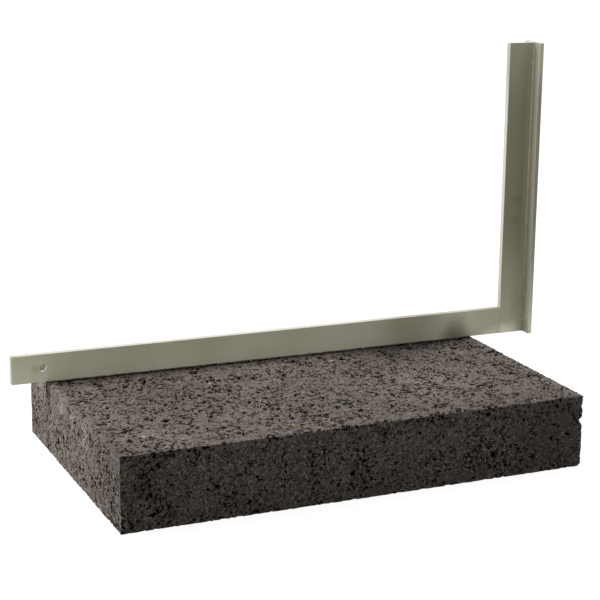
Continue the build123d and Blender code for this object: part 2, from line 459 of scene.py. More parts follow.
        # The roller turns back at the slab's ends, and the sides near them stay more open.
        along = nodes.add("SeparateXYZ", (nodes.place,))
        from_middle = nodes.add("Math", (along.outputs[ALONG],), operation="ABSOLUTE")
        at_end = nodes.add("MapRange", (from_middle, *metres(*self.open_ends_mm)))
        ends = nodes.add("Mix", (rolled, at_end, 0.0))
        clusters = nodes.add("TexNoise", (nodes.place, per_metre(self.cluster_mm)))
        drier = nodes.add("MapRange", (clusters, *self.cluster, *self.cluster_lean))
        leaner = nodes.add("Math", (ends, self.lean_ends, drier), operation="MULTIPLY_ADD")
        wider_ends = nodes.add("MapRange", (ends, *UNIT, 1.0, self.wider_ends))
        in_clusters = nodes.add("MapRange", (clusters, *self.cluster, *self.cluster_width))
        wider = nodes.add("Math", (wider_ends, in_clusters), operation="MULTIPLY")
        open_top = nodes.add("MapRange", (rolled, *UNIT, self.closed_sides, 1.0))
        opened = nodes.add("Math", (open_top, wider), operation="MULTIPLY")
        kinds = (
            self.between_grains(nodes, drawn, leaner, self.stone_gaps),
            self.between_grains(nodes, drawn, leaner, self.sand_gaps),
            self.in_film(nodes, drawn, opened, self.pores),
            self.in_film(nodes, drawn, wider, self.pinholes),
        )
        for kind in kinds:
            void = nodes.add("Math", (void, kind), operation="MAXIMUM")
        return void

    def between_grains(self, nodes: Nodes, drawn: Source, leaner: Source, gaps: Gaps) -> Node:
        """Opens the gaps between grains of one size, wider where the mix holds less bitumen.

        Args:
            nodes: The material's nodes.
            drawn: The point, shaken and stretched front to back, so that voids also paint the shade of the
                top's relief.
            leaner: How much leaner the mix is at this place.
            gaps: The size of the grains and of the widest gap.

        Returns:
            1 in a gap and 0 on the grains.
        """
        field = nodes.add("TexNoise", (nodes.place, per_metre(self.lean_share * gaps.pitch_mm)))
        leanness = nodes.add("Math", (field, leaner), operation="ADD")
        widest = gaps.widest_mm / 2.0 / gaps.pitch_mm
        shut = self.soft_edge * widest
        reach = nodes.add("MapRange", (leanness, *self.lean, -shut, widest))
        edges = nodes.add("TexVoronoi", (drawn, per_metre(gaps.pitch_mm)), feature="DISTANCE_TO_EDGE")
        inside = nodes.add("Math", (reach, edges), operation="SUBTRACT")
        return nodes.add("MapRange", (inside, -shut, shut))

    def in_film(self, nodes: Nodes, drawn: Source, opened: Source, holes: Holes) -> Node:
        """Pricks holes of one size into the film.

        Args:
            nodes: The material's nodes.
            drawn: The point, shaken and stretched front to back, so that voids also paint the shade of the
                top's relief.
            opened: How far holes are open at this place.
            holes: Their size and number.

        Returns:
            1 in a hole and 0 on the film.
        """
        cells = nodes.add("TexVoronoi", (drawn, per_metre(holes.pitch_mm)))
        chosen = nodes.add("SeparateColor", (cells.outputs["Color"],)).outputs["Green"]
        most = nodes.add("MapRange", (chosen, 1.0 - holes.chance, 1.0, 0.0, holes.reach))
        reach = nodes.add("Math", (most, opened), operation="MULTIPLY")
        inside = nodes.add("Math", (reach, cells), operation="SUBTRACT")
        soft = self.soft_edge * holes.reach
        return nodes.add("MapRange", (inside, -soft, soft))


@dataclass(frozen=True)
class BareStone(Finish):
    """The face of a crushed stone that has lost part of its bitumen film: angular, matt and finely pitted."""

    light: str
    dark: str
    shine: float
    roughness: Span
    grain_mm: float = 0.9
    graininess: float = 0.7
    mottle: Span = (0.3, 0.7)
    film: str = "#5A534D"
    film_mm: float = 1.8
    coated: Span = (0.42, 0.5)
    relief_strength: float = 0.6
    relief_mm: float = 0.25
    quartz_ior: float = 1.54

    def surface(self, nodes: Nodes) -> dict:
        """Mottles the stone and leaves rests of the film on it.

        Args:
            nodes: The material's nodes.

        Returns:
            The principled shader's values and links.
        """
        scale = per_metre(self.grain_mm)
        grain = nodes.add("TexNoise", (nodes.place, scale, FINEST_OCTAVES, self.graininess))
        share = nodes.add("MapRange", (grain, *self.mottle))
        stone = nodes.add("Mix", (share, self.dark, self.light), data_type="RGBA")
        rests = nodes.add("TexNoise", (nodes.place, per_metre(self.film_mm), FINE_OCTAVES))
        coated = nodes.add("MapRange", (rests, *self.coated))
        relief_m = self.relief_mm * METRES_PER_MM
        relief = {"Height": grain, "Strength": self.relief_strength, "Distance": relief_m}
        return {
            "Base Color": nodes.add("Mix", (coated, stone, self.film), data_type="RGBA"),
            "Roughness": nodes.add("MapRange", (grain, *UNIT, *self.roughness)),
            "IOR": self.quartz_ior,
            "Specular IOR Level": self.shine,
            "Normal": nodes.add("Bump", relief),
        }


# Iron-stained quartzite that has lost its film: dull yellow-brown.
TAN_STONE = BareStone("bare_quartzite", light="#AC9770", dark="#826E4C", shine=0.3, roughness=(0.6, 0.9))
# Milky quartz that has lost its film: pale grey, a little glassy.
WHITE_STONE = BareStone("milky_quartz", light="#A8A29A", dark="#7C766F", shine=0.4, roughness=(0.4, 0.6))


@dataclass(frozen=True)
class GroundSteel(Finish):
    """Mild steel bar, belt-ground along its length and kept under a little oil.

    The belt leaves fine parallel lines that blur what the bar mirrors, and the oil has aged to a warm
    yellow-grey. Where a square is usually gripped, it is painted darker as the shade of a gripping hand
    and as handling dirt. Next to the flange, the metal is painted lighter against the shade that the
    flange casts there. The narrow sides that look along the blade or up have a colour of their own,
    which paints the light that falls on them. The belt's lines are really about 0.1 mm apart, and are
    drawn wider to show.
    """

    grind: Grind
    steel: str
    oil: str
    side: str
    stains_and_painted_light: tuple[StainOrPaintedLight, ...] = ()
    corner_mm: Point = (-235.5, 75.5, 63.0)
    skew_degrees: float = -1.0
    blotch_mm: float = 38.0
    oiled: Span = (0.35, 0.65)
    grip_shade: str = "#73725F"
    grip_shade_share: float = 0.9
    grip_mm: float = 225.0
    grip_reach_mm: Span = (165.0, 45.0)
    flange_light: str = "#B4B29F"
    flange_light_share: float = 0.0
    flange_light_mm: Span = (253.5, 260.5)
    turned: Span = (0.6, 0.8)
    line_mm: float = 0.45
    line_length_mm: float = 55.0
    line_depth_mm: float = 0.1
    line_raggedness: float = 0.6
    line_heights: Span = (0.3, 0.7)
    roughness: Span = (0.56, 0.7)

    def surface(self, nodes: Nodes) -> dict:
        """Lays stains and the belt's lines over the metal.

        Args:
            nodes: The material's nodes.

        Returns:
            The principled shader's values and links.
        """
        colour = self.metal(nodes)
        for overlay in self.stains_and_painted_light:
            colour = overlay.over(nodes, colour)
        lines = self.belt_lines(nodes)
        relief = {"Height": lines, "Strength": 1.0, "Distance": self.line_depth_mm * METRES_PER_MM}
        return {
            "Base Color": colour,
            "Metallic": 1.0,
            "Roughness": nodes.add("MapRange", (lines, *self.line_heights, *self.roughness)),
            "Normal": nodes.add("Bump", relief),
        }

    def belt_lines(self, nodes: Nodes) -> Node:
        """Draws the belt's lines along the bar.

        Args:
            nodes: The material's nodes.

        Returns:
            The height of the lines, about 0.5 on average.
        """
        cell_mm = [self.line_mm] * AXES
        cell_mm[self.grind.value] = self.line_length_mm
        bar = {
            "Vector": nodes.place,
            "Location": Vector(self.corner_mm) * METRES_PER_MM,
            "Rotation": (0.0, 0.0, math.radians(self.skew_degrees)),
            "Scale": Vector(cell_mm) * METRES_PER_MM,
        }
        along = nodes.add("Mapping", bar, vector_type="TEXTURE")
        return nodes.add("TexNoise", (along, 1.0, FINE_OCTAVES, self.line_raggedness))

    def metal(self, nodes: Nodes) -> Source:
        """Mottles the steel with oil, paints a gripping hand's shade and dirt where it is gripped, paints it
        lighter next to the flange, and paints light on the narrow sides.

        Args:
            nodes: The material's nodes.

        Returns:
            The colour of the metal.
        """
        blotches = nodes.add("TexNoise", (nodes.place, per_metre(self.blotch_mm), FINE_OCTAVES))
        place = nodes.add("SeparateXYZ", (nodes.place,))
        grip_m = self.grip_mm * METRES_PER_MM
        above_grip = nodes.add("Math", (place.outputs[UP], grip_m), operation="SUBTRACT")
        from_grip = nodes.add("Math", (above_grip,), operation="ABSOLUTE")
        grip = (from_grip, *metres(*self.grip_reach_mm), 0.0, self.grip_shade_share)
        near_flange = (place.outputs[ALONG], *metres(*self.flange_light_mm), 0.0, self.flange_light_share)
        normal = nodes.add("SeparateXYZ", (nodes.add("NewGeometry").outputs["True Normal"],))
        endways = nodes.add("Math", (normal.outputs[ALONG],), operation="ABSOLUTE")
        turned = nodes.add("Math", (endways, normal.outputs[UP]), operation="MAXIMUM")
        films = (
            (nodes.add("MapRange", (blotches, *self.oiled)), self.oil),
            # Painted shade of a gripping hand, with handling dirt.
            (nodes.add("MapRange", grip, interpolation_type="SMOOTHSTEP"), self.grip_shade),
            # Painted light beside the flange, against the shade it casts.
            (nodes.add("MapRange", near_flange), self.flange_light),
            # Painted light on the narrow sides, by which way they face.
            (nodes.add("MapRange", (turned, *self.turned)), self.side),
        )
        colour = self.steel
        for share, film in films:
            colour = nodes.add("Mix", (share, colour, film), data_type="RGBA")
        return colour


@dataclass(frozen=True)
class BrassBraze(Finish):
    """Brazing brass, filed down and tarnished to a dull yellow-brown."""

    name: str = "filed_braze"
    brass: str = "#A29D84"
    tarnish: str = "#8F8A72"
    spot_mm: float = 2.4
    tarnished: Span = (0.35, 0.65)
    roughness: Span = (0.5, 0.75)

    def surface(self, nodes: Nodes) -> dict:
        """Spots the brass with tarnish.

        Args:
            nodes: The material's nodes.

        Returns:
            The principled shader's values and links.
        """
        spots = nodes.add("TexNoise", (nodes.place, per_metre(self.spot_mm), FINEST_OCTAVES))
        share = nodes.add("MapRange", (spots, *self.tarnished))
        return {
            "Base Color": nodes.add("Mix", (share, self.brass, self.tarnish), data_type="RGBA"),
            "Metallic": 1.0,
            "Roughness": nodes.add("MapRange", (spots, *UNIT, *self.roughness)),
        }


@dataclass(frozen=True)
class SmoothNoise:
    """A soft random field with about one hill or hollow per cell."""

    seed: int
    cell_mm: float

    def at(self, points: Array) -> Array:
        """Reads the field.

        Args:
            points: Places in millimetres, one row each.

        Returns:
            A value from 0 to 1 for each place.
        """
        scaled = points / self.cell_mm
        cells = np.floor(scaled).astype(int)
        lowest = cells.min(axis=0)
        # Both the last cell and the corners on its far side are counted.
        shape = cells.max(axis=0) - lowest + 2
        values = np.random.default_rng(self.seed).random(tuple(shape))
        ease = smooth_step(scaled - cells, UNIT)
        field = np.zeros(len(points))
        for step in itertools.product((0, 1), repeat=AXES):
            weight = np.prod(np.where(np.array(step, dtype=bool), ease, 1.0 - ease), axis=1)
            field += weight * values[tuple((cells - lowest + step).T)]
        return field


@dataclass(frozen=True)
class StoneGrade:
    """One sieve grade of crushed stone, strewn through the whole block."""

    seed: int
    pitch_mm: float
    least_mm: float
    most_mm: float
    share: float
    facets: int = 9
    longest_corner: float = 1.28

    def nearest(self, points: Array) -> tuple[Array, Array]:
        """Finds the stone nearest to each point.

        Args:
            points: Places in millimetres, one row each.

        Returns:
            The gap to the stone's skin, negative inside it, and the stone's tone from -1 to 1.
        """
        cells = np.floor(points / self.pitch_mm).astype(int)
        # One more cell is filled on every side, because the nearest stone may lie in it.
        lowest = cells.min(axis=0) - 1
        shape = tuple(cells.max(axis=0) - lowest + 2)
        rng = np.random.default_rng(self.seed)
        centres = (np.stack(np.indices(shape), axis=-1) + lowest + rng.random((*shape, AXES))) * self.pitch_mm
        radii = rng.uniform(self.least_mm, self.most_mm, shape)
        radii[rng.random(shape) > self.share] = 0.0
        tones = rng.uniform(-1.0, 1.0, shape)
        facets = rng.normal(size=(*shape, self.facets, AXES))
        facets /= np.linalg.norm(facets, axis=-1, keepdims=True)
        gap = np.full(len(points), self.pitch_mm)
        tone = np.zeros(len(points))
        for step in itertools.product((-1, 0, 1), repeat=AXES):
            where = tuple((cells - lowest + step).T)
            offsets = points - centres[where]
            radius = radii[where]
            reach = np.linalg.norm(offsets, axis=1)
            close = np.nonzero((radius > 0.0) & (reach < radius + self.most_mm))[0]
            stone = tuple(axis[close] for axis in where)
            skin = np.einsum("pfa,pa->pf", facets[stone], offsets[close]).max(axis=1)
            skin = np.maximum(skin, reach[close] / self.longest_corner) - radius[close]
            nearer = skin < gap[close]
            gap[close[nearer]] = skin[nearer]
            tone[close[nearer]] = tones[stone][nearer]
        return gap, tone


@dataclass(frozen=True)
class Outline:
    """The outline of one set stone or open pore on a face of the slab, as a convex polygon."""

    axis: int
    at_high: bool
    corners: Array

    def gap(self, points: Array) -> Array:
        """Measures how far points lie outside the outline.

        Args:
            points: Places on the face in millimetres, with the two coordinates that span it.

        Returns:
            The gap to the outline, negative inside it.
        """
        rays = self.corners - self.corners.mean(axis=0)
        ring = self.corners[np.argsort(np.arctan2(rays[:, 1], rays[:, 0]))]
        sides = np.roll(ring, -1, axis=0) - ring
        normals = np.stack([sides[:, 1], -sides[:, 0]], axis=1)
        normals /= np.linalg.norm(normals, axis=1, keepdims=True)
        return (points @ normals.T - np.sum(ring * normals, axis=1)).max(axis=1)


@dataclass(frozen=True)
class FaceRelief:
    """How one kind of slab face came out of the mould."""

    open_share: float
    void_depth_mm: float
    recess_mm: float
    sand_mm: float
    skim_mm: float = 0.25


@dataclass(frozen=True)
class Breakage:
    """A crumb that has broken out of an edge or a corner of the slab."""

    place_mm: Point
    half_length_mm: float
    depth_mm: float
    whole_share: float = 0.1

    def shift(self, points: Array, low: Array, high: Array) -> Array:
        """Works out how far the break takes the surface back, as if it were cut off at a slant.

        Args:
            points: Places on the faces, in millimetres.
            low: The slab's lowest corner.
            high: The slab's highest corner.

        Returns:
            The shift of each place, in millimetres.
        """
        place = np.array(self.place_mm)
        inwards = (np.abs(place - low) < TOUCH_MM) * 1.0 - (np.abs(place - high) < TOUCH_MM)
        inwards /= np.linalg.norm(inwards)
        along_edge = (points - place)[:, inwards == 0.0]
        reach = np.linalg.norm(along_edge, axis=1) / self.half_length_mm
        cut_mm = self.depth_mm * (1.0 - smooth_step(reach, (self.whole_share, 1.0)))
        proud_mm = np.maximum(cut_mm - (points - place) @ inwards, 0.0)
        return proud_mm[:, None] * inwards


@dataclass(frozen=True)
class StoneSet:
    """One node of set stones, with its slot, how finely it is remeshed and how deep it is pitted."""

    node: str
    slot: Slot
    voxel_mm: float
    wear_mm: float


@dataclass
class AsphaltSlab:
    """The rolled block, with the stones and chips that show in its faces."""

    body: str = "slab"
    block_node: str = "mastic_body"
    seed: int = 11
    grid_pitch_mm: float = 1.0
    shake_share: float = 0.3
    kept_triangles: int = 190_000
    seat_mm: float = 0.02
    edge_radius_mm: float = 1.1
    edge_wear: SmoothNoise = SmoothNoise(seed=31, cell_mm=4.0)
    corner_mm: float = 6.0
    rub: SmoothNoise = SmoothNoise(seed=35, cell_mm=9.0)
    rub_span: Span = (0.5, 0.8)
    rub_reach_mm: Span = (0.5, 6.0)
    crumbs: SmoothNoise = SmoothNoise(seed=36, cell_mm=2.6)
    crumble_mm: float = 0.5
    crumble_span: Span = (0.6, 0.85)
    crumble_reach_mm: Span = (0.5, 2.5)
    front_crumbs: SmoothNoise = SmoothNoise(seed=37, cell_mm=3.2)
    front_crumble_mm: float = 3.0
    front_crumble_span: Span = (0.5, 0.8)
    front_crumble_reach_mm: Span = (1.0, 6.0)
    front_crumble_along_mm: Span = (-130.0, 30.0)
    dish_mm: float = 1.9
    dish_ends_mm: Span = (3.5, 11.5)
    dish_sides_mm: Span = (4.0, 60.0)
    wide_voids: SmoothNoise = SmoothNoise(seed=32, cell_mm=3.8)
    small_voids: SmoothNoise = SmoothNoise(seed=33, cell_mm=1.8)
    void_lip: Span = (-0.015, 0.03)
    sand: SmoothNoise = SmoothNoise(seed=34, cell_mm=1.7)
    stone_lip_mm: Span = (-0.3, 0.1)
    film_mm: float = 0.35
    film_lip_mm: Span = (-0.6, 0.4)
    pore_mm: float = 2.5
    pore_skirt_mm: float = 0.6
    socket_mm: float = 1.3
    stone_skirt_mm: float = 0.9
    outline_inset_mm: float = 0.2
    wide_pits: SmoothNoise = SmoothNoise(seed=41, cell_mm=2.2)
    small_pits: SmoothNoise = SmoothNoise(seed=42, cell_mm=0.9)
    wide_pit_share: float = 0.6
    coated_swing: float = 0.08
    top: FaceRelief = FaceRelief(open_share=0.24, void_depth_mm=2.4, recess_mm=0.2, sand_mm=0.2)
    side: FaceRelief = FaceRelief(
        open_share=0.05, void_depth_mm=2.2, recess_mm=0.45, sand_mm=0.22, skim_mm=0.45,
    )
    base: FaceRelief = FaceRelief(open_share=0.02, void_depth_mm=1.5, recess_mm=0.0, sand_mm=0.05)
    grades: tuple[StoneGrade, ...] = (
        StoneGrade(seed=21, pitch_mm=12.0, least_mm=3.2, most_mm=5.0, share=0.5),
        StoneGrade(seed=22, pitch_mm=6.0, least_mm=1.7, most_mm=2.8, share=0.75),
        StoneGrade(seed=23, pitch_mm=3.4, least_mm=0.9, most_mm=1.6, share=0.85),
    )
    stone_sets: tuple[StoneSet, ...] = (
        StoneSet("coarse_stones", Slot.COATED_STONE, voxel_mm=0.55, wear_mm=0.7),
        StoneSet("medium_stones", Slot.COATED_STONE, voxel_mm=0.45, wear_mm=0.6),
        StoneSet("tan_chips", Slot.TAN_STONE, voxel_mm=0.25, wear_mm=0.5),
        StoneSet("white_chips", Slot.WHITE_STONE, voxel_mm=0.25, wear_mm=0.5),
    )
    tints_and_painted_light: tuple[StainOrPaintedLight, ...] = (
        # The left end: a pale haze, which is painted lamp light on its upper middle, and four paler spots in
        # its upper half.
        StainOrPaintedLight((-235.0, 15.0, 36.0), radius_mm=105.0, colour="#A8A195", strength=0.35),
        StainOrPaintedLight((-205.0, 30.0, 53.0), radius_mm=14.0, colour="#BAB5AF", strength=0.4),
        StainOrPaintedLight((-205.0, -4.0, 53.0), radius_mm=16.0, colour="#BAB5AF", strength=0.4),
        StainOrPaintedLight((-205.0, -38.0, 52.0), radius_mm=14.0, colour="#BAB5AF", strength=0.45),
        StainOrPaintedLight((-205.0, 95.0, 50.0), radius_mm=24.0, colour="#B0AAA2", strength=0.3),
        # The top: paler towards the front, browner towards the rear, and a painted shadow, near black, at the
        # blade's right.
        StainOrPaintedLight((190.0, -115.0, 66.0), radius_mm=65.0, colour="#AEA49D", strength=0.5),
        StainOrPaintedLight((-145.0, 40.0, 88.0), radius_mm=130.0, colour="#57493F", strength=0.45),
        StainOrPaintedLight((95.0, 38.0, 82.0), radius_mm=85.0, colour="#4A3F37", strength=0.32),
        # Painted shadow beside the blade's right half.
        StainOrPaintedLight((145.0, 76.0, 75.0), radius_mm=80.0, colour="#2E2823", strength=0.65),
        StainOrPaintedLight((-165.0, -105.0, 75.0), radius_mm=60.0, colour="#AEA49D", strength=0.1),
        StainOrPaintedLight((115.0, -45.0, 80.0), radius_mm=85.0, colour="#AEA49D", strength=0.18),
        # The front: darker towards both ends.
        StainOrPaintedLight((185.0, -130.0, 53.0), radius_mm=80.0, colour="#2A2520", strength=0.5),
        StainOrPaintedLight((-190.0, -130.0, 44.0), radius_mm=60.0, colour="#2A2520", strength=0.3),
    )
    breakages: tuple[Breakage, ...] = (
        Breakage((205.0, -130.0, 53.5), half_length_mm=3.0, depth_mm=1.7),
        Breakage((205.0, -130.0, 40.5), half_length_mm=4.2, depth_mm=3.7),
        Breakage((205.0, -130.0, 0.0), half_length_mm=4.0, depth_mm=1.8),
    )

    def __post_init__(self) -> None:
        """Takes the slab's box from the frame."""
        low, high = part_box(self.block_node)
        self.low = np.array(low) / METRES_PER_MM
        self.high = np.array(high) / METRES_PER_MM

    def build(self) -> None:
        """Builds the block and its stones and dresses them."""
        finishes = {
            Slot.MASTIC: RolledAsphalt("rolled_asphalt", self.tints_and_painted_light),
            Slot.COATED_STONE: RolledAsphalt(
                "bitumen_coated_stone", self.tints_and_painted_light, stone_swing=self.coated_swing,
            ),
            Slot.TAN_STONE: TAN_STONE,
            Slot.WHITE_STONE: WHITE_STONE,
        }
        outlines = [outline for stones in self.stone_sets for outline in self.outlines(stones.node)]
        self.place(self.block(outlines), self.block_node, Slot.MASTIC, finishes)
        for stones in self.stone_sets:
            self.place(self.worn_stones(stones), stones.node, stones.slot, finishes)

    def place(self, piece: Object, node: str, slot: Slot, finishes: dict[Slot, Finish]) -> None:
        """Ties a piece to the slab and dresses it.

        Args:
            piece: The new piece.
            node: The node that it stands for.
            slot: Its material slot.
            finishes: The finish of each slot.
        """
        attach(piece, self.body)
        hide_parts(node)
        piece.data.materials.append(finishes[slot].material())

    def wall(self, axis: int, at_high: bool) -> float:
        """Gives the place of one of the slab's faces on its axis, in millimetres."""
        return (self.high if at_high else self.low)[axis]

    def islands(self, node: str, level: tuple[int, float] | None = None) -> list[Array]:
        """Splits a node of the frame into its separate solids, or its faces at one level into floors.

        Args:
            node: The node's name.
            level: An axis and a place on it in millimetres, or nothing for the whole node.

        Returns:
            The corners of each solid or floor, in millimetres.
        """
        mesh = bmesh.new()
        mesh.from_mesh(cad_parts[node].data)
        bmesh.ops.remove_doubles(mesh, verts=mesh.verts[:], dist=TOUCH_MM * METRES_PER_MM)
        if level is not None:
            axis, place_mm = level
            away = {corner: abs(corner.co[axis] / METRES_PER_MM - place_mm) for corner in mesh.verts}
            off = [corner for corner, gap in away.items() if gap > TOUCH_MM]
            bmesh.ops.delete(mesh, geom=off, context="VERTS")
        unseen = set(mesh.verts)
        solids = []
        while unseen:
            waiting = [unseen.pop()]
            solid = []
            while waiting:
                corner = waiting.pop()
                solid.append(np.array(corner.co) / METRES_PER_MM)
                beside = {edge.other_vert(corner) for edge in corner.link_edges} & unseen
                unseen -= beside
                waiting.extend(beside)
            solids.append(np.array(solid))
        mesh.free()
        return sorted(solids, key=lambda solid: tuple(solid.mean(axis=0)))

    def outlines(self, node: str) -> list[Outline]:
        """Finds where the stones of a node come through the slab's faces.

        Args:
            node: The node's name.

        Returns:
            One outline for each stone.
        """
        found = []
        for solid, (axis, at_high) in itertools.product(self.islands(node), FACES):
            sunk = self.dish(solid) if axis == UP and at_high else 0.0
            on_face = np.abs(solid[:, axis] - self.wall(axis, at_high) + sunk) < TOUCH_MM
            if on_face.sum() >= AXES:
                found.append(Outline(axis, at_high, np.delete(solid[on_face], axis, axis=1)))
        return found

    def pores(self) -> list[Outline]:
        """Finds the open pores in the slab's faces by their floors.

        Returns:
            One outline for each pore.
        """
        found = []
        for axis, at_high in FACES:
            depth_mm = self.pore_mm + (self.dish_mm if axis == UP and at_high else 0.0)
            place_mm = self.wall(axis, at_high) + (-depth_mm if at_high else depth_mm)
            for floor in self.islands(self.block_node, (axis, place_mm)):
                if len(floor) >= AXES:
                    found.append(Outline(axis, at_high, np.delete(floor, axis, axis=1)))
        log.info("open pores: %d", len(found))
        return found

    def grid(self) -> tuple[Array, Array]:
        """Lays a grid of squares over the slab's six faces.

        Returns:
            The grid's points in millimetres, and its squares as rows of four point numbers.
        """
        counts = np.round((self.high - self.low) / self.grid_pitch_mm).astype(int)
        squares = []
        for axis, at_high in FACES:
            across, along = (axis + 1) % AXES, (axis + 2) % AXES
            first, second = np.meshgrid(np.arange(counts[across]), np.arange(counts[along]), indexing="ij")
            ring = ((0, 0), (1, 0), (1, 1), (0, 1)) if at_high else ((0, 0), (0, 1), (1, 1), (1, 0))
            places = np.zeros((first.size, len(ring), AXES), dtype=int)
            for number, (right, up) in enumerate(ring):
                places[:, number, axis] = counts[axis] if at_high else 0
                places[:, number, across] = first.ravel() + right
                places[:, number, along] = second.ravel() + up
            squares.append(places)
        places = np.concatenate(squares)
        keys = places @ np.cumprod([1, *counts[:UP] + 1])
        _, first_use, numbers = np.unique(keys, return_index=True, return_inverse=True)
        points = places.reshape(-1, AXES)[first_use] * (self.high - self.low) / counts + self.low
        return points, numbers.reshape(keys.shape)

    def block(self, outlines: list[Outline]) -> Object:
        """Builds the rough block.

        Args:
            outlines: Where separate stones are set into its faces.

        Returns:
            The block's object.
        """
        points, squares = self.grid()
        rng = np.random.default_rng(self.seed)
        shake = rng.uniform(-1.0, 1.0, points.shape) * self.grid_pitch_mm * self.shake_share
        at_wall = (np.abs(points - self.low) < TOUCH_MM) | (np.abs(points - self.high) < TOUCH_MM)
        points = points + np.where(at_wall, 0.0, shake)
        depth, tone, pit = self.depth(points, at_wall, outlines)
        rubbed = 1.0 - smooth_step(self.edge_gap(points), self.rub_reach_mm)
        rubbed *= smooth_step(self.rub.at(points), self.rub_span)
        mesh = bpy.data.meshes.new("asphalt_block")
        mesh.from_pydata(self.sink(points, depth) * METRES_PER_MM, [], squares.tolist())
        for name, values in (("tone", tone), ("pit", pit), ("rubbed", rubbed)):
            mesh.attributes.new(name, "FLOAT", "POINT").data.foreach_set("value", values)
        block = link("asphalt_block", mesh)
        thin = block.modifiers.new("thin", "DECIMATE")
        thin.ratio = self.kept_triangles / (TRIANGLES_PER_SQUARE * len(squares))
        settled = settle(block)
        highest = self.high - np.array([0.0, 0.0, self.seat_mm])
        inside = np.clip(read_vertices(settled, "co"), self.low * METRES_PER_MM, highest * METRES_PER_MM)
        settled.vertices.foreach_set("co", inside.ravel())
        settled.update()
        log.info("asphalt_block: %d triangles", len(settled.polygons))
        return block

    def sink(self, points: Array, depth: Array) -> Array:
        """Sinks the faces, rounds their worn edges and takes off the crumbs that have broken out.

        Args:
            points: Places on the faces, in millimetres.
            depth: How far each place lies under its face, in millimetres.

        Returns:
            The places on the rough surface, in millimetres.
        """
        core = np.clip(points, self.low + self.edge_radius_mm, self.high - self.edge_radius_mm)
        outwards = points - core
        outwards /= np.linalg.norm(outwards, axis=1, keepdims=True)
        rounded = core + outwards * self.edge_radius_mm
        worn = self.edge_wear.at(points) * self.off_corner(points)
        surface = points + (rounded - points) * worn[:, None] - outwards * depth[:, None]
        for breakage in self.breakages:
            surface += breakage.shift(points, self.low, self.high)
        return surface

    def rim(self, points: Array) -> Array:
        """Measures the distance from places to the nearer of the two faces on each axis, in millimetres."""
        return np.minimum(points - self.low, self.high - points)

    def edge_gap(self, points: Array) -> Array:
        """Measures the distance from places on the slab's faces to the nearest edge, in millimetres."""
        return np.sort(self.rim(points), axis=1)[:, 1]

    def off_corner(self, points: Array) -> Array:
        """Gives 0 at the slab's eight corners, which stayed whole, and 1 away from them."""
        return smooth_step(self.rim(points).max(axis=1), (0.0, self.corner_mm))

    def dish(self, points: Array) -> Array:
        """Gives the depth in millimetres to which the roller has dished the top, with level edges."""
        rim = self.rim(points)
        from_end = np.interp(rim[:, ALONG], self.dish_ends_mm, (0.0, self.dish_mm))
        from_side = np.interp(rim[:, ACROSS], self.dish_sides_mm, (0.0, self.dish_mm))
        return np.minimum(from_end, from_side)

    def crumbled(self, points: Array) -> Array:
        """Gives the depth in millimetres to which edges have crumbled, most of all the top's front edge.

        Args:
            points: Places on the faces, in millimetres.

        Returns:
            The depth at each place.
        """
        near_edge = 1.0 - smooth_step(self.edge_gap(points), self.crumble_reach_mm)
        everywhere = self.crumble_mm * near_edge * smooth_step(self.crumbs.at(points), self.crumble_span)
        from_front = np.hypot(points[:, ACROSS] - self.low[ACROSS], points[:, UP] - self.high[UP])
        at_front = 1.0 - smooth_step(from_front, self.front_crumble_reach_mm)
        at_front *= smooth_step(points[:, ALONG], self.front_crumble_along_mm)
        broken = smooth_step(self.front_crumbs.at(points), self.front_crumble_span)
        return (everywhere + self.front_crumble_mm * at_front * broken) * self.off_corner(points)

    def depth(self, points: Array, at_wall: Array, outlines: list[Outline]) -> tuple[Array, Array, Array]:
        """Works out how far the rough surface lies under the slab's smooth faces.

        Args:
            points: Places on the faces, in millimetres.
            at_wall: For each place, the axes along which it lies on a face.
            outlines: Where separate stones are set into the faces.

        Returns:
            The depth in millimetres, the tone of the stone there, and how far a void is open there.
        """
        gap = np.full(len(points), np.inf)
        tone = np.zeros(len(points))
        for grade in self.grades:
            grade_gap, grade_tone = grade.nearest(points)
            nearer = grade_gap < gap
            gap = np.where(nearer, grade_gap, gap)
            tone = np.where(nearer, grade_tone, tone)
        on_top = at_wall[:, UP] & (points[:, UP] > self.high[UP] - TOUCH_MM)
        on_base = at_wall[:, UP] & ~on_top
        openness = (self.wide_voids.at(points) + self.small_voids.at(points)) / 2.0
        sand = self.sand.at(points)
        depth = np.zeros(len(points))
        pit = np.zeros(len(points))
        for relief, here in ((self.top, on_top), (self.base, on_base), (self.side, ~on_top & ~on_base)):
            limit = np.quantile(openness[here], 1.0 - relief.open_share)
            opened = smooth_step(openness[here], limit + np.array(self.void_lip))
            beside = smooth_step(gap[here], self.stone_lip_mm)
            recess = relief.recess_mm * ((1.0 + tone[here]) / 2.0) * (gap[here] < 0.0)
            film = self.film_mm * smooth_step(gap[here], self.film_lip_mm)
            rough = np.maximum(recess + film + relief.sand_mm * sand[here] - relief.skim_mm, 0.0)
            pit[here] = opened * beside
            depth[here] = rough + relief.void_depth_mm * pit[here]
        sunk = np.where(on_top, self.dish(points), 0.0)
        depth += sunk
        depth += self.crumbled(points)
        for outline in outlines:
            near, inside = self.within(points, at_wall, outline, self.stone_skirt_mm)
            depth[near] += (sunk[near] + self.socket_mm - depth[near]) * inside
        for outline in self.pores():
            near, inside = self.within(points, at_wall, outline, self.pore_skirt_mm)
            depth[near] += (sunk[near] + self.pore_mm - depth[near]) * inside
            pit[near] = np.maximum(pit[near], inside)
        return depth, np.where(gap < 0.0, tone, 0.0), pit

